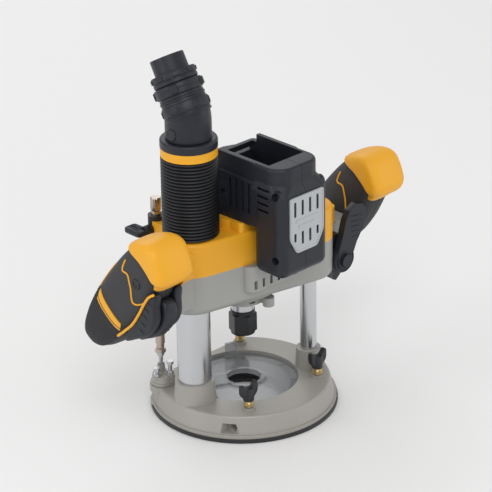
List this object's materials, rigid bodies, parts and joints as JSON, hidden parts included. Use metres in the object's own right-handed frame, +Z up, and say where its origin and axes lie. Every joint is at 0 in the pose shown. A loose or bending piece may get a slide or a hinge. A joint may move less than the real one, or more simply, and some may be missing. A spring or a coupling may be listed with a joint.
{
  "type": "plunge trim router",
  "caption": "Cordless plunge trim router: head with two handles slides on two columns over a round base; a dust elbow tops the large column.",
  "frame": {"origin": "centre of the round opening in the sole, on the spindle's axis and in the sole's plane", "axes": "+Z up along the spindle, -Y to the front where the battery housing stands out, +X to the side of the lock lever"},
  "size_m": [0.303, 0.151, 0.3473],
  "materials": {
    "base_grey": "satin grey paint on cast aluminium, bright machined rim",
    "head_grey": "satin grey paint on cast aluminium",
    "black_plate": "smooth black phenolic sheet",
    "zinc": "bright zinc plate",
    "clear": "clear moulded polycarbonate",
    "brass": "turned brass",
    "knob_black": "moulded, matte",
    "chrome_rod": "satin hard chrome, ground",
    "bellows_rubber": "moulded pleated rubber",
    "yellow": "moulded, low sheen",
    "housing_black": "moulded, fine texture",
    "overmould": "soft overmould, matte",
    "silver_grille": "satin plate",
    "board_green": "solder mask",
    "lamination": "stacked electrical steel",
    "copper": null,
    "bearing_steel": "ground",
    "spring_steel": "oiled wire",
    "dark_steel": "black oxide",
    "bronze_rod": "satin nickel with a warm cast",
    "bronze": "sintered bronze"
  },
  "bodies": {
    "base": {"base_casting": "base_grey", "sub_base_plate": "black_plate", "sub_base_screws": "zinc", "dust_cover": "clear", "dust_column": "chrome_rod", "guide_column": "chrome_rod", "return_spring": "spring_steel", "bellows": "bellows_rubber", "bellows_ring": "yellow", "column_cap": "housing_black"},
    "head": {"head_casting": "head_grey", "column_bushings": "bronze", "motor_housing": "yellow", "battery_housing_left": "housing_black", "battery_housing_right": "housing_black", "housing_screws": "zinc", "grille_plate": "silver_grille", "terminal_block": "yellow", "controller_board": "board_green", "stator": "lamination", "stator_windings": "copper", "spindle_bearings": "bearing_steel", "bearing_retainer": "head_grey", "left_handle_outer": "overmould", "left_handle_inner": "overmould", "left_handle_cap": "yellow", "left_handle_guard": "housing_black", "right_handle_outer": "overmould", "right_handle_inner": "overmould", "right_handle_cap": "yellow", "switch_module": "knob_black", "lever_bracket": "housing_black", "rod_holder": "knob_black"},
    "spindle": {"spindle_shaft": "bearing_steel", "rotor_core": "lamination", "cooling_fan": "knob_black", "collet": "dark_steel", "collet_nut": "dark_steel"},
    "turret": {"turret_body": "base_grey", "turret_nuts": "zinc"},
    "thumbscrew_front_left": {"thumbscrew_knob_front_left": "knob_black", "thumbscrew_stem_front_left": "brass"},
    "thumbscrew_front_right": {"thumbscrew_knob_front_right": "knob_black", "thumbscrew_stem_front_right": "brass"},
    "thumbscrew_rear_right": {"thumbscrew_knob_rear_right": "knob_black", "thumbscrew_stem_rear_right": "brass"},
    "turret_stop_tall": {"turret_screw_tall": "zinc"},
    "turret_stop_middle": {"turret_screw_middle": "zinc"},
    "turret_stop_short": {"turret_screw_short": "zinc"},
    "trigger_body": {"trigger": "housing_black"},
    "lock_off_button_body": {"lock_off_button": "knob_black"},
    "lock_lever_body": {"lock_lever": "housing_black"},
    "depth_rod_body": {"depth_rod": "bronze_rod"},
    "depth_rod_knob_body": {"depth_rod_knob": "bronze_rod"},
    "clamp_paddle_body": {"clamp_paddle": "housing_black"},
    "spindle_lock_button_body": {"spindle_lock_button": "knob_black"},
    "speed_dial_body": {"speed_dial": "yellow"},
    "dust_elbow_body": {"dust_elbow": "housing_black"},
    "elbow_button_body": {"elbow_button": "knob_black"},
    "locking_collar_body": {"locking_collar": "housing_black"}
  },
  "joints": [
    {"name": "plunge", "type": "slide", "parent": "base", "child": "head", "axis": [0, 0, -1], "range_m": [0, 0.055], "stiffness_N_per_m": 600, "springref_m": -0.1, "deforming": ["bellows", "return_spring"]},
    {"name": "spindle_spin", "type": "hinge", "parent": "head", "child": "spindle", "pos_m": [0, 0, 0.1], "axis": [0, 0, 1], "continuous": true},
    {"name": "turret_turn", "type": "hinge", "parent": "base", "child": "turret", "pos_m": [-0.06, 0.0426, 0.0275], "axis": [0, 0, 1], "continuous": true},
    {"name": "stop_tall_turn", "type": "hinge", "parent": "turret", "child": "turret_stop_tall", "pos_m": [-0.0565, 0.04866, 0.035], "axis": [0, 0, 1], "range_deg": [-180, 180]},
    {"name": "stop_middle_turn", "type": "hinge", "parent": "turret", "child": "turret_stop_middle", "pos_m": [-0.0565, 0.03654, 0.035], "axis": [0, 0, 1], "range_deg": [-180, 180]},
    {"name": "stop_short_turn", "type": "hinge", "parent": "turret", "child": "turret_stop_short", "pos_m": [-0.067, 0.0426, 0.035], "axis": [0, 0, 1], "range_deg": [-180, 180]},
    {"name": "thumbscrew_front_left_turn", "type": "hinge", "parent": "base", "child": "thumbscrew_front_left", "pos_m": [-0.0415, -0.049, 0.035], "axis": [0, 0, 1], "range_deg": [-360, 360]},
    {"name": "thumbscrew_front_right_turn", "type": "hinge", "parent": "base", "child": "thumbscrew_front_right", "pos_m": [0.045, -0.049, 0.035], "axis": [0, 0, 1], "range_deg": [-360, 360]},
    {"name": "thumbscrew_rear_right_turn", "type": "hinge", "parent": "base", "child": "thumbscrew_rear_right", "pos_m": [0.0425, 0.049, 0.035], "axis": [0, 0, 1], "range_deg": [-360, 360]},
    {"name": "depth_rod_slide", "type": "slide", "parent": "head", "child": "depth_rod_body", "axis": [0, 0, 1], "range_m": [0, 0.055]},
    {"name": "depth_rod_knob_turn", "type": "hinge", "parent": "depth_rod_body", "child": "depth_rod_knob_body", "pos_m": [-0.0565, 0.0487, 0.198], "axis": [0, 0, 1], "continuous": true},
    {"name": "clamp_paddle_turn", "type": "hinge", "parent": "head", "child": "clamp_paddle_body", "pos_m": [-0.0715, 0.0487, 0.174], "axis": [1, 0, 0], "range_deg": [-30, 60]},
    {"name": "lock_lever_swing", "type": "hinge", "parent": "head", "child": "lock_lever_body", "pos_m": [0.081, -0.045, 0.127], "axis": [0, 1, 0], "range_deg": [0, 18], "stiffness_Nm_per_rad": 0.8, "springref_deg": -17.19},
    {"name": "trigger_press", "type": "slide", "parent": "head", "child": "trigger_body", "axis": [0, 0.7799, 0.6259], "range_m": [0, 0.004], "stiffness_N_per_m": 1500, "springref_m": -0.002},
    {"name": "lock_off_press", "type": "slide", "parent": "head", "child": "lock_off_button_body", "axis": [-1, 0, 0], "range_m": [0, 0.003], "stiffness_N_per_m": 800, "springref_m": -0.002},
    {"name": "spindle_lock_press", "type": "slide", "parent": "head", "child": "spindle_lock_button_body", "axis": [-0.7863, -0.6178, 0], "range_m": [0, 0.003], "stiffness_N_per_m": 1200, "springref_m": -0.002},
    {"name": "speed_dial_turn", "type": "hinge", "parent": "head", "child": "speed_dial_body", "pos_m": [0.022, 0.0225, 0.204], "axis": [0, 1, 0], "range_deg": [-140, 140]},
    {"name": "elbow_swivel", "type": "hinge", "parent": "base", "child": "dust_elbow_body", "pos_m": [-0.0593, 0.0008, 0.285], "axis": [0, 0, 1], "range_deg": [-90, 90]},
    {"name": "elbow_button_press", "type": "slide", "parent": "dust_elbow_body", "child": "elbow_button_body", "axis": [1, 0, 0], "range_m": [0, 0.001], "stiffness_N_per_m": 800, "springref_m": -0.001},
    {"name": "locking_collar_turn", "type": "hinge", "parent": "dust_elbow_body", "child": "locking_collar_body", "pos_m": [-0.0593, 0.0008, 0.296], "axis": [0, 0.5, 0.866], "range_deg": [-20, 20]}
  ],
  "couplings": [
    {"joint": "depth_rod_slide", "follows": "plunge", "ratio": 1}
  ]
}
